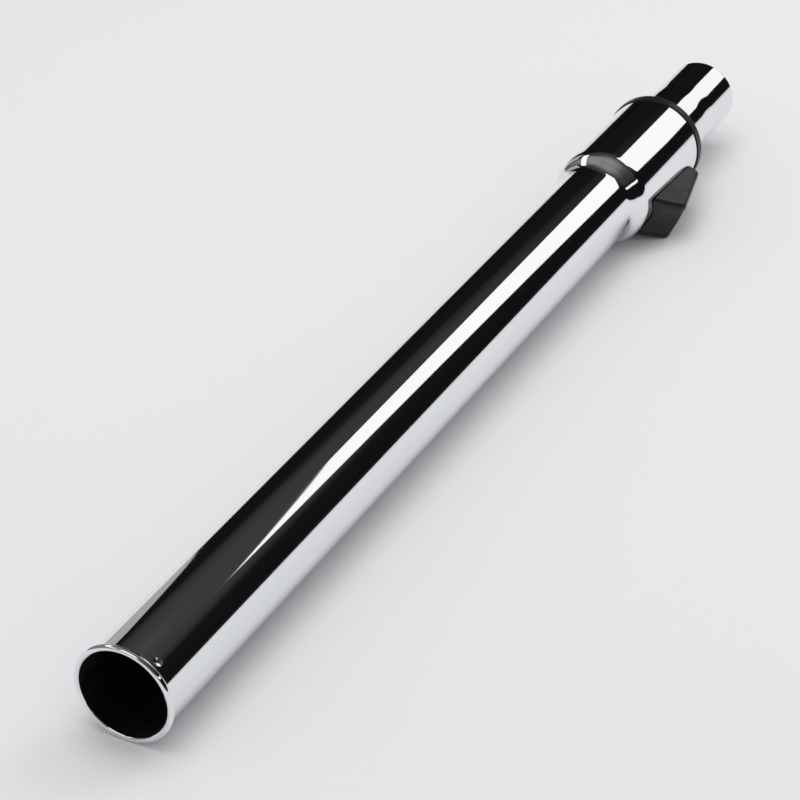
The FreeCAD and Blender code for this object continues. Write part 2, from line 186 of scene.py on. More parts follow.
class Coat:
    """One material in the making, from its finish."""

    def __init__(self, finish: Finish) -> None:
        """Starts the material.

        Args:
            finish: what it is made from.
        """
        self.finish = finish
        self.material, self.graph = blank(finish.name)
        self.material.diffuse_color = (*finish.colour, 1.0)
        shader = self.graph.add("ShaderNodeBsdfPrincipled", {"Metallic": finish.metallic})
        self.graph.add("ShaderNodeOutputMaterial", {"Surface": shader.outputs["BSDF"]})
        self.inputs = shader.inputs
        self.place = self.graph.add("ShaderNodeTexCoord").outputs["Object"]

    def noise(self, repeats: Point, detail: float = 3.0) -> Socket:
        """Adds noise with its own scale along each axis.

        Args:
            repeats: repeats per metre along x, y and z.
            detail: octaves of the noise.

        Returns:
            The noise's socket, about 0 to 1.
        """
        spread = self.graph.add("ShaderNodeMapping", {"Vector": self.place, "Scale": repeats})
        given = {"Vector": spread.outputs["Vector"], "Scale": 1.0, "Detail": detail}
        return self.graph.add("ShaderNodeTexNoise", given).outputs["Fac"]

    def band(self, noise: Socket, low: float, high: float) -> Socket:
        """Maps the middle of a noise to a band of values.

        Args:
            noise: the noise.
            low: result where it is low.
            high: result where it is high.

        Returns:
            The mapped socket.
        """
        start, end = NOISE_MIDDLE
        ends = {"Value": noise, "From Min": start, "From Max": end, "To Min": low, "To Max": high}
        return self.graph.add("ShaderNodeMapRange", ends).outputs["Result"]

    def tint(self, noise: Socket, share: float) -> None:
        """Colours the coat, darker where the noise is high.

        Args:
            noise: where it is darker.
            share: share of the colour that is left there.
        """
        colour = self.finish.colour
        mix = self.graph.add("ShaderNodeMix", data_type="RGBA")
        self.graph.feed(mix.inputs["Factor"], self.band(noise, 0.0, 1.0))
        self.graph.feed(mix.inputs[MIX_FIRST], (*colour, 1.0))
        self.graph.feed(mix.inputs[MIX_SECOND], (*(part * share for part in colour), 1.0))
        self.graph.feed(self.inputs["Base Color"], mix.outputs[MIX_RESULT])

    def wear(self, noise: Socket) -> None:
        """Makes the coat smooth where the noise is low and dull where it is high."""
        self.graph.feed(self.inputs["Roughness"], self.band(noise, self.finish.smooth, self.finish.dull))

    def relief(self, height: Socket, depth: float, share: float) -> None:
        """Lets a height texture raise the surface.

        Args:
            height: the texture, 0 to 1.
            depth: height of the relief in metres.
            share: share of the relief that shows.
        """
        bump = self.graph.add("ShaderNodeBump", {"Height": height, "Distance": depth, "Strength": share})
        self.graph.feed(self.inputs["Normal"], bump.outputs["Normal"])


@dataclass(frozen=True)
class Chrome(Finish):
    """Polished chrome plate with drawn lines along the tube and faint wiping marks."""

    metallic: float = 1.0
    line_repeats: Point = (3.0, 1400.0, 1400.0)
    line_detail: float = 2.0
    line_depth: float = 0.002 * MM
    line_share: float = 0.08
    wipe_repeats: Point = (14.0, 60.0, 60.0)
    wiped_share: float = 0.965

    def make(self) -> Material:
        """Builds the material.

        Returns:
            The chrome.
        """
        coat = Coat(self)
        wipes = coat.noise(self.wipe_repeats)
        coat.tint(wipes, self.wiped_share)
        coat.wear(wipes)
        lines = coat.noise(self.line_repeats, self.line_detail)
        coat.relief(lines, self.line_depth, self.line_share)
        return coat.material


@dataclass(frozen=True)
class BareSteel(Finish):
    """Unplated steel with drawn lines and dark patches."""

    metallic: float = 1.0
    line_repeats: Point = (9.0, 700.0, 700.0)
    line_depth: float = 0.01 * MM
    line_share: float = 0.3
    patch_repeats: Point = (40.0, 90.0, 90.0)
    patch_share: float = 0.7

    def make(self) -> Material:
        """Builds the material.

        Returns:
            The bare steel.
        """
        coat = Coat(self)
        coat.tint(coat.noise(self.patch_repeats), self.patch_share)
        lines = coat.noise(self.line_repeats)
        coat.wear(lines)
        coat.relief(lines, self.line_depth, self.line_share)
        return coat.material


@dataclass(frozen=True)
class Moulded(Finish):
    """Moulded plastic or rubber with a fine spark grain and a little handling sheen."""

    grain_repeats: float = 2600.0
    grain_detail: float = 2.0
    grain_depth: float = 0.03 * MM
    grain_share: float = 0.2
    sheen_repeats: float = 90.0
    handled_share: float = 0.8
    shine: float = 0.5

    def make(self) -> Material:
        """Builds the material.

        Returns:
            The moulded plastic.
        """
        coat = Coat(self)
        handled = coat.noise((self.sheen_repeats,) * 3)
        coat.tint(handled, self.handled_share)
        coat.wear(handled)
        coat.inputs["Specular IOR Level"].default_value = self.shine
        grain = coat.noise((self.grain_repeats,) * 3, self.grain_detail)
        coat.relief(grain, self.grain_depth, self.grain_share)
        return coat.material


@dataclass(frozen=True)
class Felt(Finish):
    """Pressed felt: short fibres with darker clumps."""

    fibre_repeats: Point = (2200.0, 900.0, 900.0)
    fibre_detail: float = 5.0
    fibre_depth: float = 0.2 * MM
    fibre_share: float = 0.8
    clump_repeats: float = 260.0
    clump_share: float = 0.55
    fuzz: float = 0.3

    def make(self) -> Material:
        """Builds the material.

        Returns:
            The felt.
        """
        coat = Coat(self)
        coat.tint(coat.noise((self.clump_repeats,) * 3), self.clump_share)
        fibres = coat.noise(self.fibre_repeats, self.fibre_detail)
        coat.wear(fibres)
        coat.inputs["Sheen Weight"].default_value = self.fuzz
        coat.relief(fibres, self.fibre_depth, self.fibre_share)
        return coat.material


@dataclass(frozen=True)
class FinishSet:
    """All finishes of the wand."""

    outer_chrome: Chrome = Chrome("outer_chrome", (0.86, 0.87, 0.89), smooth=0.035, dull=0.06)
    inner_chrome: Chrome = Chrome("inner_chrome", (0.84, 0.85, 0.87), smooth=0.04, dull=0.065)
    bore_steel: BareSteel = BareSteel("bore_steel", (0.13, 0.13, 0.135), smooth=0.38, dull=0.55)
    steel: BareSteel = BareSteel("bright_steel", (0.6, 0.61, 0.63), smooth=0.2, dull=0.34)
    dark_plastic: Moulded = Moulded("ring_plastic", (0.02, 0.018, 0.016), smooth=0.3, dull=0.42, shine=0.3)
    black_plastic: Moulded = Moulded(
        "catch_plastic", (0.011, 0.0105, 0.0095), smooth=0.26, dull=0.38, shine=0.32)
    sleeve_plastic: Moulded = Moulded("sleeve_plastic", (0.12, 0.12, 0.13), smooth=0.5, dull=0.62)
    seal_rubber: Moulded = Moulded("seal_rubber", (0.03, 0.03, 0.03), smooth=0.62, dull=0.78)
    felt: Felt = Felt("wiper_felt", (0.2, 0.19, 0.18), smooth=0.9, dull=1.0)


class Workshop:
    """Materials made once, and what every piece needs on its way into the frame."""

    def __init__(self, finishes: FinishSet) -> None:
        """Makes every material of the set."""
        names = [item.name for item in fields(finishes)]
        self.materials: dict[str, Material] = {name: getattr(finishes, name).make() for name in names}

    def paint(self, node: str, finish: str) -> None:
        """Gives a carried-over node its finish.

        Args:
            node: name of the node.
            finish: name in the finish set.
        """
        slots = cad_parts[node].data.materials
        slots.clear()
        slots.append(self.materials[finish])
        LOG.info("%s carries over with %s", node, finish)

    def place(self, piece: bpy.types.Object, body: Body, slot: Slot, node: str) -> None:
        """Lets a piece stand for a node.

        Args:
            piece: the finished piece.
            body: the body it rides on.
            slot: the record's slot of its finish; not used.
            node: the node that it replaces.
        """
        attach(piece, body.value)
        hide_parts(node)
        LOG.info("%s replaces %s, %d faces", piece.name, node, len(piece.data.polygons))


@dataclass
class Ring:
    """One circle of a turned wall: its station, its radius, and whether the wall after it is bare steel."""

    x: float
    r: float
    bore: bool = False


@dataclass
class TurnedWall:
    """Closed wall of revolution about the tube axis."""

    name: str
    rings: list[Ring]
    angles: list[float]
    skip: Callable[[Ring, Ring, float, float], bool] | None = None
    crease: float = math.radians(38.0)

    def point(self, ring: Ring, angle: float) -> Point:
        """Place of one corner of the wall."""
        return (ring.x, ring.r * math.cos(angle), ring.r * math.sin(angle))

    def build(self) -> bpy.types.Object:
        """Builds the wall, with the holes that skip asks for closed through the wall's thickness.

        Returns:
            An object whose faces carry the attribute bore.
        """
        work = bmesh.new()
        bore = work.faces.layers.bool.new("bore")
        count = len(self.angles)
        corners = [[work.verts.new(self.point(ring, angle)) for angle in self.angles] for ring in self.rings]
        for row, ring in enumerate(self.rings):
            following = (row + 1) % len(self.rings)
            here, there = corners[row], corners[following]
            for column in range(count):
                beside = (column + 1) % count
                start = self.angles[column]
                span = (self.angles[beside] - start) % math.tau
                if self.skip and self.skip(ring, self.rings[following], start, start + span):
                    continue
                loop = (here[column], here[beside], there[beside], there[column])
                work.faces.new(loop)[bore] = ring.bore
        self.close_holes(work)
        bmesh.ops.recalc_face_normals(work, faces=work.faces)
        mesh = bpy.data.meshes.new(self.name)
        work.to_mesh(mesh)
        work.free()
        mesh.shade_smooth()
        mesh.set_sharp_from_angle(angle=self.crease)
        piece = bpy.data.objects.new(self.name, mesh)
        bpy.context.scene.collection.objects.link(piece)
        return piece

    def close_holes(self, work: bmesh.types.BMesh) -> None:
        """Joins the two edges of a hole, outside and inside, by a band of faces.

        Args:
            work: the wall with its open edges.
        """
        rims = [edge for edge in work.edges if len(edge.link_faces) == 1]
        if rims:
            bmesh.ops.bridge_loops(work, edges=rims)


class Press:
    """Geometry Nodes tree with named inputs that is run once on a piece."""

    def __init__(self, name: str, numbers: dict[str, float], materials: dict[str, Material]) -> None:
        """Starts the tree.

        Args:
            name: name of the tree.
            numbers: number inputs by name.
            materials: material inputs by name.
        """
        self.values: dict[str, Any] = {**numbers, **materials}
        self.tree = bpy.data.node_groups.new(name, "GeometryNodeTree")
        self.tree.is_modifier = True
        face = self.tree.interface
        face.new_socket("Geometry", in_out="INPUT", socket_type="NodeSocketGeometry")
        face.new_socket("Geometry", in_out="OUTPUT", socket_type="NodeSocketGeometry")
        for key in numbers:
            face.new_socket(key, in_out="INPUT", socket_type="NodeSocketFloat")
        for key in materials:
            face.new_socket(key, in_out="INPUT", socket_type="NodeSocketMaterial")
        self.graph = Graph(self.tree)
        self.inputs = self.graph.add("NodeGroupInput").outputs

    def axes(self) -> tuple[Socket, Socket, Socket]:
        """Coordinates of a corner of the piece.

        Returns:
            Its x, y and z.
        """
        place = self.graph.add("GeometryNodeInputPosition").outputs[0]
        x, y, z = self.graph.add("ShaderNodeSeparateXYZ", {"Vector": place}).outputs
        return x, y, z

    def root(self, first: Socket, second: Socket) -> Socket:
        """Length of a vector with two parts.

        Args:
            first: one part.
            second: the part at a right angle to it.

        Returns:
            The length's socket.
        """
        maths = self.graph.maths
        squares = maths("ADD", maths("MULTIPLY", first, first), maths("MULTIPLY", second, second))
        return maths("SQRT", squares)

    def finish(self, geometry: Socket, skin: str, inside: str | None = None) -> None:
        """Ends the tree: instances made real, then the materials.

        Args:
            geometry: the pressed geometry.
            skin: name of the input with the outside material.
            inside: name of the input for faces marked bore.
        """
        add = self.graph.add
        flow = add("GeometryNodeRealizeInstances", {"Geometry": geometry}).outputs[0]
        flow = add("GeometryNodeSetMaterial", {"Geometry": flow, "Material": self.inputs[skin]}).outputs[0]
        if inside:
            bore = add("GeometryNodeInputNamedAttribute", {"Name": "bore"}, data_type="BOOLEAN")
            marked = bore.outputs["Attribute"]
            given = {"Geometry": flow, "Selection": marked, "Material": self.inputs[inside]}
            flow = add("GeometryNodeSetMaterial", given).outputs[0]
        add("NodeGroupOutput", {"Geometry": flow})

    def run(self, piece: bpy.types.Object) -> None:
        """Runs the tree on a piece and keeps the result as its mesh.

        Args:
            piece: the object to press.
        """
        modifier = piece.modifiers.new(self.tree.name, "NODES")
        modifier.node_group = self.tree
        for item in self.tree.interface.items_tree:
            if item.in_out == "INPUT" and item.name in self.values:
                modifier[item.identifier] = self.values[item.name]
        piece.update_tag()
        graph = bpy.context.evaluated_depsgraph_get()
        mesh = bpy.data.meshes.new_from_object(piece.evaluated_get(graph))
        piece.modifiers.remove(modifier)
        piece.data = mesh
        mesh.name = piece.name


@dataclass
class Lay:
    """How the wand lies: rolled about its axis until the catch touches the floor."""

    roll: float = math.radians(114.577835)
    rim_station: float = 0.887 * MM
    rim_radius: float = 20.5 * MM
    mouth_station: float = 481.05 * MM
    mouth_radius: float = 23.8 * MM

    @property
    def catch_angle(self) -> float:
        """Angle of the catch round the axis, from +Y towards +Z."""
        return self.roll + math.pi / 2

    def floor_level(self, x: float) -> float:
        """Height of the floor under a station of the tube."""
        slope = (self.mouth_radius - self.rim_radius) / (self.mouth_station - self.rim_station)
        return -self.rim_radius - slope * (x - self.rim_station)

    def turned(self, x: float, across: float, out: float) -> Point:
        """Place of a point given by station, offset across the catch and height over the axis."""
        cos, sin = math.cos(self.roll), math.sin(self.roll)
        return (x, across * cos - out * sin, across * sin + out * cos)


def swell(start: float, low: float, high: float, length: float, steps: int) -> list[Ring]:
    """Rings of two tangent arcs that swell from one radius to another.

    Args:
        start: station where the swell begins.
        low: radius there.
        high: radius at its end.
        length: length along the axis.
        steps: rings of each arc.

    Returns:
        The rings, without the first one.
    """
    rise = high - low
    radius = (length**2 + rise**2) / (4 * rise)
    reach = 2 * math.atan2(rise, length)
    turns = [reach * i / steps for i in range(1, steps + 1)]
    first = [Ring(start + radius * math.sin(a), low + radius * (1 - math.cos(a))) for a in turns]
    second = [Ring(2 * start + length - ring.x, low + high - ring.r) for ring in reversed(first[:-1])]
    return first + second + [Ring(start + length, high)]


@dataclass
class OuterTube:
    """Outer tube: rolled rim, dents behind it, plain run, flare and collar with the catch's window.

    Each run is a row of stations. The near ones lie close together, because the dents are pressed there.
    """

    lay: Lay
    radius: float = 19.0 * MM
    bore: float = 18.1 * MM
    bore_run: Numbers = millimetres(380, 300, 200, 120, 80)
    socket: float = 18.25 * MM
    socket_depth: float = 58.0 * MM
    socket_step: float = 1.0 * MM
    socket_run: Numbers = millimetres(30, 6)
    bead_centre: float = 19.2 * MM
    bead_radius: float = 1.296 * MM
    bead_end: float = 2.3 * MM
    bead_steps: int = 26
    near_start: float = 2.4 * MM
    near_step: float = 0.28 * MM
    near_count: int = 28
    plain_run: Numbers = millimetres(14, 24, 60, 120, 200, 280, 340, 380, 400, 407)
    length: float = 408.0 * MM
    flare: float = 12.5 * MM
    flare_steps: int = 12
    throat_steps: int = 6
    collar: float = 23.3 * MM
    collar_bore: float = 22.4 * MM
    collar_lead: float = 1.0 * MM
    collar_end: float = 481.0 * MM
    mouth_edge: float = 0.2 * MM
    window: Span = (449.7 * MM, 466.3 * MM)
    window_half: float = math.radians(7.5)
    segments: int = 480
    dent_count: int = 4
    dent_station: float = 6.0 * MM
    dent_depth: float = 0.4 * MM
    dent_ball: float = 4.0 * MM
    dent_soft: float = 0.12 * MM
    dent_turn: float = math.radians(-166.0)
    skin_depth: float = 0.2 * MM

    def rim(self) -> list[Ring]:
        """Rings of the rolled bead, from the bore round to the tube.

        Returns:
            The rings in order.
        """
        station, centre, size = self.lay.rim_station, self.bead_centre, self.bead_radius
        start = math.atan2(self.socket - centre, -station) + math.tau
        end = math.asin((self.radius - centre) / size)
        turns = [start + (end - start) * i / self.bead_steps for i in range(self.bead_steps + 1)]
        return [Ring(station + size * math.cos(a), centre + size * math.sin(a)) for a in turns]

    def rings(self) -> list[Ring]:
        """Rings of the whole wall, outside first and then back through the bore.

        Returns:
            The rings in order.
        """
        near = [Ring(self.near_start + self.near_step * i, self.radius) for i in range(self.near_count)]
        plain = [Ring(x, self.radius) for x in (*self.plain_run, self.length)]
        collar_start = self.length + self.flare
        flare = swell(self.length, self.radius, self.collar, self.flare, self.flare_steps)
        end = self.collar_end
        stations = [collar_start + self.collar_lead, *self.window, end - self.mouth_edge]
        collar = [Ring(x, self.collar) for x in stations]
        mouth = [Ring(end, self.collar - self.mouth_edge), Ring(end, self.collar_bore, True)]
        back = [Ring(x, self.collar_bore, True) for x in (*reversed(self.window), collar_start)]
        inner_flare = swell(self.length, self.bore, self.collar_bore, self.flare, self.throat_steps)
        throat = [Ring(ring.x, ring.r, True) for ring in reversed(inner_flare[:-1])]
        step_end = self.socket_depth + self.socket_step
        deep = [Ring(x, self.bore, True) for x in (self.length, *self.bore_run, step_end)]
        socket = [Ring(x, self.socket, True) for x in (self.socket_depth, *self.socket_run)]
        return self.rim() + near + plain + flare + collar + mouth + back + throat + deep + socket

    def in_window(self, ring: Ring, following: Ring, start: float, end: float) -> bool:
        """Tells whether one face of the wall lies in the catch's window.

        Args:
            ring: first ring of the face.
            following: second ring.
            start: angle where the face begins.
            end: angle where it ends.

        Returns:
            True if the face is left out.
        """
        if {ring.x, following.x} != set(self.window):
            return False
        middle = ((start + end) / 2 - self.lay.catch_angle + math.pi) % math.tau - math.pi
        return abs(middle) < self.window_half

    def press(self, workshop: Workshop) -> Press:
        """Tree that presses the dents into the outside of the tube.

        Args:
            workshop: the materials.

        Returns:
            The tree, ready to run.
        """
        sizes = {
            "Dent count": float(self.dent_count),
            "Dent station": self.dent_station,
            "Dent depth": self.dent_depth,
            "Ball radius": self.dent_ball,
            "Soft edge": self.dent_soft,
            "First turn": self.lay.catch_angle + self.dent_turn,
            "Tube radius": self.radius,
            "Skin depth": self.skin_depth,
            "Bead end": self.bead_end,
        }
        made = {"Skin": workshop.materials["outer_chrome"], "Bore": workshop.materials["bore_steel"]}
        press = Press("PressedDents", sizes, made)
        maths, given = press.graph.maths, press.inputs
        x, y, z = press.axes()
        r = press.root(y, z)
        half = maths("DIVIDE", math.pi, given["Dent count"])
        turn = maths("SUBTRACT", maths("ARCTAN2", z, y), given["First turn"])
        turn = maths("WRAP", turn, half, maths("MULTIPLY", half, -1.0))
        round_way = maths("MULTIPLY", turn, given["Tube radius"])
        off = press.root(round_way, maths("SUBTRACT", x, given["Dent station"]))
        room = maths("SUBTRACT", maths("POWER", given["Ball radius"], 2.0), maths("POWER", off, 2.0))
        ball = maths("SQRT", maths("MAXIMUM", room, 0.0))
        sink = maths("SUBTRACT", ball, maths("SUBTRACT", given["Ball radius"], given["Dent depth"]))
        depth = maths("SMOOTH_MAX", sink, 0.0, given["Soft edge"])
        share = maths("DIVIDE", maths("MULTIPLY", depth, -1.0), r)
        shift = press.graph.add("ShaderNodeCombineXYZ", {
            "Y": maths("MULTIPLY", y, share), "Z": maths("MULTIPLY", z, share)})
        skin = maths("GREATER_THAN", r, maths("SUBTRACT", given["Tube radius"], given["Skin depth"]))
        chosen = maths("MULTIPLY", skin, maths("GREATER_THAN", x, given["Bead end"]))
        moved = press.graph.add("GeometryNodeSetPosition", {
            "Geometry": given["Geometry"], "Selection": chosen, "Offset": shift.outputs[0]})
        press.finish(moved.outputs[0], "Skin", "Bore")
        return press

    def build(self, workshop: Workshop) -> bpy.types.Object:
        """Builds and dresses the tube.

        Args:
            workshop: the materials.

        Returns:
            The piece.
        """
        step = math.tau / self.segments
        angles = [self.lay.catch_angle + step * i for i in range(self.segments)]
        piece = TurnedWall("outer_tube_wall", self.rings(), angles, self.in_window).build()
        self.press(workshop).run(piece)
        workshop.place(piece, Body.OUTER, Slot.OUTER_CHROME, "outer_tube")
        return piece


@dataclass
class InnerTube:
    """Inner tube: pressed guide groove with its row of detents, plain run, neck and spigot.

    Each run is a row of stations. Those between two detents are shares of the pitch.
    """

    lay: Lay
    radius: float = 17.5 * MM
    bore: float = 16.6 * MM
    start: float = 75.3 * MM
    end: float = 544.0 * MM
    spigot: float = 17.15 * MM
    spigot_bore: float = 16.25 * MM
    neck: Span = (505.0 * MM, 519.0 * MM)
    neck_steps: int = 18
    run_to_neck: Numbers = millimetres(470, 485, 500, 504)
    run_to_tip: Numbers = millimetres(520, 532, 543, 543.4)
    edge: float = 0.4 * MM
    edge_turns: Numbers = (0.0, 0.4, 0.8, 1.2, math.pi / 2)
    groove_floor: float = 15.9 * MM
    groove_half: float = 5.0 * MM
    groove_edge: float = 0.5 * MM
    groove_leads: Numbers = millimetres(0, 14, 28)
    groove_end: float = 456.0 * MM
    groove_margin: float = 1.5 * MM
    lock: float = 448.0 * MM
    pitch: float = 27.0 * MM
    detent_count: int = 13
    detent_radius: float = 2.45 * MM
    detent_axis: float = 0.95 * MM
    detent_half: float = 4.5 * MM
    detent_soft: float = 0.15 * MM
    detent_reach: float = 3.2 * MM
    between_detents: Numbers = (0.25, 0.5, 0.75)
    outside_steps: int = 20
    inside_steps: int = 8
    fine_half: float = math.radians(24.0)
    fine_count: int = 48
    coarse_count: int = 104

    def angles(self) -> list[float]:
        """Angles of the wall's lines, close together at the groove.

        Returns:
            The angles in order.
        """
        fine = [-self.fine_half + 2 * self.fine_half * i / self.fine_count for i in range(self.fine_count)]
        rest = math.tau - 2 * self.fine_half
        coarse = [self.fine_half + rest * i / self.coarse_count for i in range(self.coarse_count)]
        return [self.lay.catch_angle + turn for turn in fine + coarse]

    def groove_stations(self, steps: int) -> list[float]:
        """Stations along the groove, close together at each detent and at the groove's round end.

        Args:
            steps: stations in a close stretch.

        Returns:
            The stations in rising order.
        """
        half = self.detent_reach
        stations = [self.start + lead for lead in self.groove_leads]
        for index in reversed(range(self.detent_count)):
            middle = self.lock - index * self.pitch
            stations += [middle - half + 2 * half * i / steps for i in range(steps + 1)]
            if index:
                stations += [middle + self.pitch * share for share in self.between_detents]
        tail = self.lock + half
        last = self.groove_end + self.groove_margin
        stations += [tail + (last - tail) * i / steps for i in range(1, steps + 1)]
        return stations

    def radius_at(self, x: float) -> float:
        """Outside radius at a station, with a soft neck."""
        share = min(max((x - self.neck[0]) / (self.neck[1] - self.neck[0]), 0.0), 1.0)
        return self.radius + (self.spigot - self.radius) * share * share * (3 - 2 * share)

    def rings(self) -> list[Ring]:
        """Rings of the whole wall, outside first and then back through the bore.

        Returns:
            The rings in order.
        """
        start, end = self.neck
        neck = [start + (end - start) * i / self.neck_steps for i in range(self.neck_steps + 1)]
        run = [*self.run_to_neck, *neck, *self.run_to_tip]
        outside = [Ring(x, self.radius_at(x)) for x in self.groove_stations(self.outside_steps) + run]
        edge = self.edge
        outside += [Ring(self.end - edge * (1 - math.sin(a)), self.spigot - edge * (1 - math.cos(a)))
                    for a in self.edge_turns]
        wall = self.radius - self.bore
        inside = [Ring(self.end, self.spigot_bore, True)]
        inside += [Ring(x, self.radius_at(x) - wall, True) for x in reversed(run)]
        inside += [Ring(x, self.bore, True) for x in reversed(self.groove_stations(self.inside_steps))]
        return outside + inside

    def press(self, workshop: Workshop) -> Press:
        """Tree that presses the groove and its row of detents into the wall.

        Args:
            workshop: the materials.

        Returns:
            The tree, ready to run.
        """
        sizes = {
            "Tube radius": self.radius,
            "Catch angle": self.lay.catch_angle,
            "Groove floor": self.groove_floor,
            "Groove half width": self.groove_half,
            "Groove end": self.groove_end - self.groove_half,
            "Edge half width": self.groove_edge,
            "First detent": self.lock,
            "Detent pitch": self.pitch,
            "Row start": self.lock - (self.detent_count - 0.5) * self.pitch,
            "Row end": self.lock + 0.5 * self.pitch,
            "Detent radius": self.detent_radius,
            "Detent axis over floor": self.detent_axis,
            "Detent half length": self.detent_half,
            "Detent soft edge": self.detent_soft,
        }
        made = {"Skin": workshop.materials["inner_chrome"], "Bore": workshop.materials["bore_steel"]}
        press = Press("DetentRow", sizes, made)
        graph, maths, given = press.graph, press.graph.maths, press.inputs
        x, y, z = press.axes()
        turn = maths("SUBTRACT", maths("ARCTAN2", z, y), given["Catch angle"])
        turn = maths("WRAP", turn, math.pi, -math.pi)
        crown = maths("MULTIPLY", given["Tube radius"], maths("COSINE", turn))
        across = maths("ABSOLUTE", maths("MULTIPLY", given["Tube radius"], maths("SINE", turn)))
        past_end = maths("MAXIMUM", maths("SUBTRACT", x, given["Groove end"]), 0.0)
        edge = given["Edge half width"]
        half = given["Groove half width"]
        off = press.root(past_end, across)
        inside = graph.fade(off, maths("SUBTRACT", half, edge), maths("ADD", half, edge))
        pitch = given["Detent pitch"]
        along = maths("SUBTRACT", x, given["First detent"])
        along = maths("WRAP", along, maths("MULTIPLY", pitch, 0.5), maths("MULTIPLY", pitch, -0.5))
        room = maths("SUBTRACT", maths("POWER", given["Detent radius"], 2.0), maths("POWER", along, 2.0))
        cup = maths("SUBTRACT", maths("SQRT", maths("MAXIMUM", room, 0.0)), given["Detent axis over floor"])
        cup = maths("SMOOTH_MAX", cup, 0.0, given["Detent soft edge"])
        reach = given["Detent half length"]
        ends = graph.fade(across, maths("SUBTRACT", reach, edge), maths("ADD", reach, edge))
        in_row = maths("MULTIPLY", maths("GREATER_THAN", x, given["Row start"]),
                       maths("LESS_THAN", x, given["Row end"]))
        cup = maths("MULTIPLY", maths("MULTIPLY", cup, ends), in_row)
        floor = maths("SUBTRACT", given["Groove floor"], cup)
        drop = maths("MULTIPLY", maths("MAXIMUM", maths("SUBTRACT", crown, floor), 0.0), inside)
        drop = maths("MULTIPLY", drop, maths("GREATER_THAN", crown, 0.0))
        inward = maths("MULTIPLY", drop, -1.0)
        shift = graph.add("ShaderNodeCombineXYZ", {
            "Y": maths("MULTIPLY", inward, maths("COSINE", given["Catch angle"])),
            "Z": maths("MULTIPLY", inward, maths("SINE", given["Catch angle"]))})
        moved = graph.add("GeometryNodeSetPosition", {
            "Geometry": given["Geometry"], "Offset": shift.outputs[0]})
        press.finish(moved.outputs[0], "Skin", "Bore")
        return press

    def build(self, workshop: Workshop) -> bpy.types.Object:
        """Builds and dresses the tube.

        Args:
            workshop: the materials.

        Returns:
            The piece.
        """
        piece = TurnedWall("inner_tube_wall", self.rings(), self.angles()).build()
        self.press(workshop).run(piece)
        workshop.place(piece, Body.INNER, Slot.INNER_CHROME, "inner_tube")
        return piece


@dataclass
class ReturnSprings:
    """The two springs that push the catch back."""

    lay: Lay
    start: float = 461.25 * MM
    wire_radius: float = 0.2 * MM
    wire_sides: int = 10
    mean_radius: float = 1.0 * MM
    length: float = 11.5 * MM
    coils: float = 7.0
    coil_steps: int = 24
    lane: float = 3.2 * MM
    level: float = 20.65 * MM
    fixed_end: float = 473.0 * MM
    pressed_share: float = 0.5

    def press(self, workshop: Workshop, centre: Point) -> Press:
        """Tree that winds one spring.

        Args:
            workshop: the materials.
            centre: where the spring's axis begins.

        Returns:
            The tree, ready to run.
        """
        sizes = {"Wire radius": self.wire_radius, "Mean radius": self.mean_radius, "Coils": self.coils,
                 "Length": self.length}
        press = Press("SpringWinding", sizes, {"Wire": workshop.materials["steel"]})
        add, given = press.graph.add, press.inputs
        coil = add("GeometryNodeCurveSpiral", {
            "Resolution": self.coil_steps, "Rotations": given["Coils"], "Start Radius": given["Mean radius"],
            "End Radius": given["Mean radius"], "Height": given["Length"]})
        wire = add("GeometryNodeCurvePrimitiveCircle", {
            "Resolution": self.wire_sides, "Radius": given["Wire radius"]})
        tube = add("GeometryNodeCurveToMesh", {
            "Curve": coil.outputs[0], "Profile Curve": wire.outputs[0], "Fill Caps": True})
        laid = add("GeometryNodeTransform", {
            "Geometry": tube.outputs[0], "Rotation": (0.0, math.pi / 2, 0.0), "Translation": centre})
        press.finish(laid.outputs[0], "Wire")
        return press

    def build(self, workshop: Workshop) -> list[bpy.types.Object]:
        """Winds both springs.

        Args:
            workshop: the materials.

        Returns:
            The pieces.
        """
        pieces = []
        for side, lane in (("left", -self.lane), ("right", self.lane)):
            name = f"return_spring_{side}_coil"
            piece = bpy.data.objects.new(name, bpy.data.meshes.new(name))
            bpy.context.scene.collection.objects.link(piece)
            centre = self.lay.turned(self.start, lane, self.level)
            self.press(workshop, centre).run(piece)
            piece.data.shade_smooth()
            workshop.place(piece, Body.OUTER, Slot.STEEL, f"return_spring_{side}")
            anchor = self.lay.turned(self.fixed_end, lane, self.level)
            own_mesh(piece)
            pieces.append(piece)
        return pieces


@dataclass
class MouldedPieces:
    """Nodes whose solids are right as they are, with the finish of each."""

    finishes: dict[str, str] = field(default_factory=lambda: {
        "mouth_ring": "dark_plastic",
        "thumb_slider": "black_plastic",
        "guide_sleeve": "sleeve_plastic",
        "wiper_seal": "felt",
        "cam_carriage": "steel",
        "carriage_screws": "steel",
        "lock_roller": "steel",
        "tail_bush": "sleeve_plastic",
        "tail_seal": "seal_rubber",
    })

    def dress(self, workshop: Workshop) -> None:
        """Paints every node.

        Args:
            workshop: the materials.
        """
        for node, finish in self.finishes.items():
            workshop.paint(node, finish)


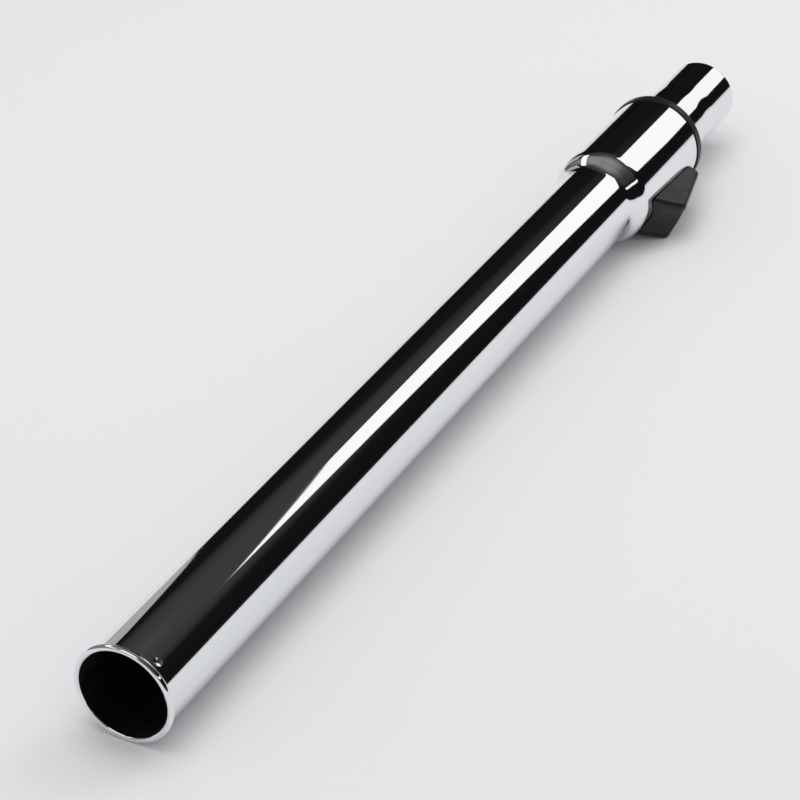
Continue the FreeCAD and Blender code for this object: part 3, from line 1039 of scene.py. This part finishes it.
@dataclass
class Studio:
    """Pale floor, soft lamps, a dark tent and lit cards for the chrome to mirror, and the camera.

    The tent's levels are pairs of height and brightness. Its heights, its hem and the ends of its pale
    parts are shares of its radius.
    """

    lay: Lay
    wand_middle: Point = (0.28, 0.0, 0.0)
    floor_half: float = 9.0
    floor_colour: Colour = (0.8, 0.8, 0.8)
    floor_roughness: float = 0.7
    world_colour: Colour = (0.92, 0.94, 0.97)
    world_light: float = 0.64
    world_shown: float = 0.9
    card_colour: Colour = (1.0, 0.985, 0.96)
    strip_run: Span = (-2.0, 0.95)
    strip_away: float = 1.25
    tent_radius: float = 2.6
    tent_segments: tuple[int, int] = (96, 48)
    tent_hem: float = -0.05
    tent_foot: Colour = (0.012, 0.012, 0.014)
    tent_top: Colour = (0.27, 0.262, 0.25)
    tent_tint: Colour = (1.0, 0.97, 0.92)
    tent_levels: tuple[Span, ...] = ((0.1, 0.006), (0.5, 0.008), (0.64, 0.04), (0.78, 0.05), (0.88, 0.1))
    tent_pale: float = 0.2
    pale_left: Span = (0.6, 0.15)
    pale_left_end: Span = (0.2, 0.55)
    pale_behind: Span = (-0.9, -0.55)
    camera_place: Point = (-0.615484, -0.425646, 0.588060)
    camera_forward: Point = (0.75322, 0.38712, -0.53179)
    camera_right: Point = (0.45711, -0.88941, 0.0)
    camera_up: Point = (0.47298, 0.24309, 0.84688)
    camera_reach: float = 60.0
    focal_pixels: float = 2685.23
    picture_pixels: float = 800.0
    sensor: float = 36.0

    def floor_paint(self) -> Material:
        """Matt paint without gloss for the floor.

        Returns:
            The material.
        """
        material = bpy.data.materials.new("floor")
        material.use_nodes = True
        inputs = material.node_tree.nodes["Principled BSDF"].inputs
        inputs["Base Color"].default_value = (*self.floor_colour, 1.0)
        inputs["Roughness"].default_value = self.floor_roughness
        inputs["Specular IOR Level"].default_value = 0.0
        return material

    def glow(self, name: str, strength: float) -> Material:
        """Evenly lit cloth of a card.

        Args:
            name: name of the material.
            strength: its brightness.

        Returns:
            The material.
        """
        material, graph = blank(name)
        light = graph.add("ShaderNodeEmission", {"Color": (*self.card_colour, 1.0), "Strength": strength})
        graph.add("ShaderNodeOutputMaterial", {"Surface": light.outputs[0]})
        return material

    def card(self, name: str, corners: list[Vector], material: Material, seen: Seen) -> None:
        """Adds one flat card.

        Args:
            name: name of the card.
            corners: its corners in order.
            material: its material.
            seen: who sees it.
        """
        mesh = bpy.data.meshes.new(name)
        mesh.from_pydata([tuple(corner) for corner in corners], [], [tuple(range(len(corners)))])
        self.stage(mesh, material, seen)

    def stage(self, mesh: bpy.types.Mesh, material: Material, seen: Seen) -> None:
        """Sets a mesh up as part of the studio.

        Args:
            mesh: the mesh, whose name the object takes.
            material: its material.
            seen: who sees it.
        """
        mesh.materials.append(material)
        card = bpy.data.objects.new(mesh.name, mesh)
        bpy.context.scene.collection.objects.link(card)
        if seen is Seen.MIRRORS:
            card.visible_camera = False
            card.visible_diffuse = False
            card.visible_shadow = False

    def floor(self) -> None:
        """Lays the floor under the rim, the mouth ring and the catch."""
        half = self.floor_half
        corners = [Vector((x, y, self.lay.floor_level(x))) for x, y in
                   ((-half, -half), (half, -half), (half, half), (-half, half))]
        self.card("floor", corners, self.floor_paint(), Seen.ALL)

    def softbox(
        self, name: str, heading: float, lift: float, away: float, corners: list[Span], strength: float
    ) -> None:
        """Hangs a lit card that faces the middle of the wand.

        Args:
            name: name of the card.
            heading: degrees from +X towards +Y.
            lift: degrees over the horizon.
            away: distance from the middle of the wand.
            corners: corners on the card, sideways and upwards, in metres.
            strength: brightness.
        """
        turn, rise = math.radians(heading), math.radians(lift)
        out = Vector((math.cos(rise) * math.cos(turn), math.cos(rise) * math.sin(turn), math.sin(rise)))
        side = Vector((-math.sin(turn), math.cos(turn), 0.0))
        top = out.cross(side)
        middle = Vector(self.wand_middle) + out * away
        points = [middle + side * u + top * v for u, v in corners]
        self.card(name, points, self.glow(name, strength), Seen.MIRRORS)

    def strip(self, name: str, turn: float, half_width: float, strength: float) -> None:
        """Hangs a long lit strip beside the wand, parallel to it.

        Args:
            name: name of the strip.
            turn: degrees round the tube, from +Y up.
            half_width: half its width.
            strength: brightness.
        """
        angle = math.radians(turn)
        out = Vector((0.0, math.cos(angle), math.sin(angle)))
        side = Vector((0.0, -math.sin(angle), math.cos(angle)))
        start, end = self.strip_run
        middle = out * self.strip_away
        points = [Vector((x, 0.0, 0.0)) + middle + side * share * half_width
                  for x, share in ((start, -1), (end, -1), (end, 1), (start, 1))]
        self.card(name, points, self.glow(name, strength), Seen.MIRRORS)

    def tent_cloth(self) -> Material:
        """Dark cloth that grows lighter towards the top, behind the camera and on the left.

        Returns:
            The material.
        """
        material, graph = blank("tent_cloth")
        place = graph.add("ShaderNodeTexCoord").outputs["Object"]
        axes = graph.add("ShaderNodeSeparateXYZ", {"Vector": place}).outputs
        x, y, z = [graph.maths("DIVIDE", axis, self.tent_radius) for axis in axes]
        ramp = graph.add("ShaderNodeValToRGB", {"Fac": z})
        stops = ramp.color_ramp.elements
        stops[0].color = (*self.tent_foot, 1.0)
        stops[1].color = (*self.tent_top, 1.0)
        for height, level in self.tent_levels:
            stops.new(height).color = (*(level * share for share in self.tent_tint), 1.0)
        dark = graph.add("ShaderNodeEmission", {"Color": ramp.outputs["Color"], "Strength": 1.0})
        left = graph.maths("MULTIPLY", graph.fade(y, *self.pale_left), graph.fade(x, *self.pale_left_end))
        behind = graph.fade(x, *self.pale_behind)
        level = graph.maths("MULTIPLY", graph.maths("MAXIMUM", left, behind), self.tent_pale)
        pale = graph.add("ShaderNodeEmission", {"Color": (*self.card_colour, 1.0), "Strength": level})
        both = graph.add("ShaderNodeAddShader")
        for socket, light in zip(both.inputs, (dark, pale)):
            graph.feed(socket, light.outputs[0])
        graph.add("ShaderNodeOutputMaterial", {"Surface": both.outputs[0]})
        return material

    def tent(self) -> None:
        """Puts a dark tent over the wand that only reflections see."""
        work = bmesh.new()
        around, upwards = self.tent_segments
        bmesh.ops.create_uvsphere(work, u_segments=around, v_segments=upwards, radius=self.tent_radius)
        below = [corner for corner in work.verts if corner.co.z < self.tent_hem * self.tent_radius]
        bmesh.ops.delete(work, geom=below, context="VERTS")
        bmesh.ops.translate(work, verts=work.verts, vec=self.wand_middle)
        mesh = bpy.data.meshes.new("tent")
        work.to_mesh(mesh)
        work.free()
        self.stage(mesh, self.tent_cloth(), Seen.MIRRORS)

    def lamp(self, name: str, place: Point, width: float, depth: float, watts: float) -> None:
        """Hangs a soft lamp that looks at the middle of the wand.

        Args:
            name: name of the lamp.
            place: where it hangs.
            width: its width.
            depth: its depth.
            watts: its power.
        """
        data = bpy.data.lights.new(name, "AREA")
        data.shape = "RECTANGLE"
        data.size, data.size_y, data.energy = width, depth, watts
        lamp = bpy.data.objects.new(name, data)
        lamp.location = place
        aim = Vector(self.wand_middle) - Vector(place)
        lamp.rotation_euler = aim.to_track_quat("-Z", "Y").to_euler()
        lamp.visible_glossy = False
        bpy.context.scene.collection.objects.link(lamp)

    def world(self) -> None:
        """Sets a pale sky: soft light, and a pale background for the camera and for mirrors."""
        world = bpy.data.worlds.new("studio")
        world.use_nodes = True
        world.node_tree.nodes.clear()
        graph = Graph(world.node_tree)
        ray = graph.add("ShaderNodeLightPath").outputs
        shown = graph.maths("MAXIMUM", ray["Is Camera Ray"], ray["Is Glossy Ray"])
        shown = graph.maths("MAXIMUM", shown, ray["Is Transmission Ray"])
        more = graph.maths("MULTIPLY", shown, self.world_shown - self.world_light)
        sky = graph.add("ShaderNodeBackground", {
            "Color": (*self.world_colour, 1.0), "Strength": graph.maths("ADD", more, self.world_light)})
        graph.add("ShaderNodeOutputWorld", {"Surface": sky.outputs[0]})
        bpy.context.scene.world = world

    def camera(self) -> None:
        """Sets the camera at the photograph's viewing angle."""
        data = bpy.data.cameras.new("camera")
        data.sensor_width = self.sensor
        data.lens = self.sensor * self.focal_pixels / self.picture_pixels
        data.clip_end = self.camera_reach
        camera = bpy.data.objects.new("camera", data)
        axes = [Vector(self.camera_right), Vector(self.camera_up), -Vector(self.camera_forward)]
        camera.matrix_world = Matrix.Translation(self.camera_place) @ Matrix(axes).transposed().to_4x4()
        bpy.context.scene.collection.objects.link(camera)
        bpy.context.scene.camera = camera

    def build(self) -> None:
        """Sets up the whole studio."""
        self.camera()
        self.floor()
        self.tent()
        key = [(-0.258, 0.332), (0.235, 0.380), (0.372, -0.430), (-0.240, -0.430)]
        self.softbox("key_softbox", heading=-16.5, lift=33.0, away=1.4, corners=key, strength=1.12)
        rear = [(-0.3, 0.4), (0.3, 0.4), (0.3, -0.4), (-0.3, -0.4)]
        self.softbox("rear_softbox", heading=168.0, lift=33.0, away=1.5, corners=rear, strength=1.2)
        low = [(-0.21, 0.5), (0.4, 0.5), (0.4, -0.4), (-0.21, -0.4)]
        self.softbox("low_card", heading=57.0, lift=10.0, away=2.0, corners=low, strength=0.42)
        self.strip("left_strip", turn=40.0, half_width=0.12, strength=1.1)
        self.strip("right_strip", turn=152.0, half_width=0.05, strength=1.1)
        self.lamp("overhead_lamp", place=(0.2, 0.15, 1.7), width=1.3, depth=1.1, watts=11.0)
        self.lamp("far_lamp", place=(1.3, -0.5, 1.2), width=0.7, depth=0.7, watts=4.0)
        self.world()
        bpy.context.scene.view_settings.view_transform = "Standard"
        LOG.info("studio is set")


def main() -> None:
    """Builds the wand piece by piece, then the studio."""
    logging.basicConfig(level=logging.INFO)
    lay = Lay()
    workshop = Workshop(FinishSet())
    OuterTube(lay).build(workshop)
    InnerTube(lay).build(workshop)
    ReturnSprings(lay).build(workshop)
    MouldedPieces().dress(workshop)
    Studio(lay).build()


if __name__ == "__main__":
    main()
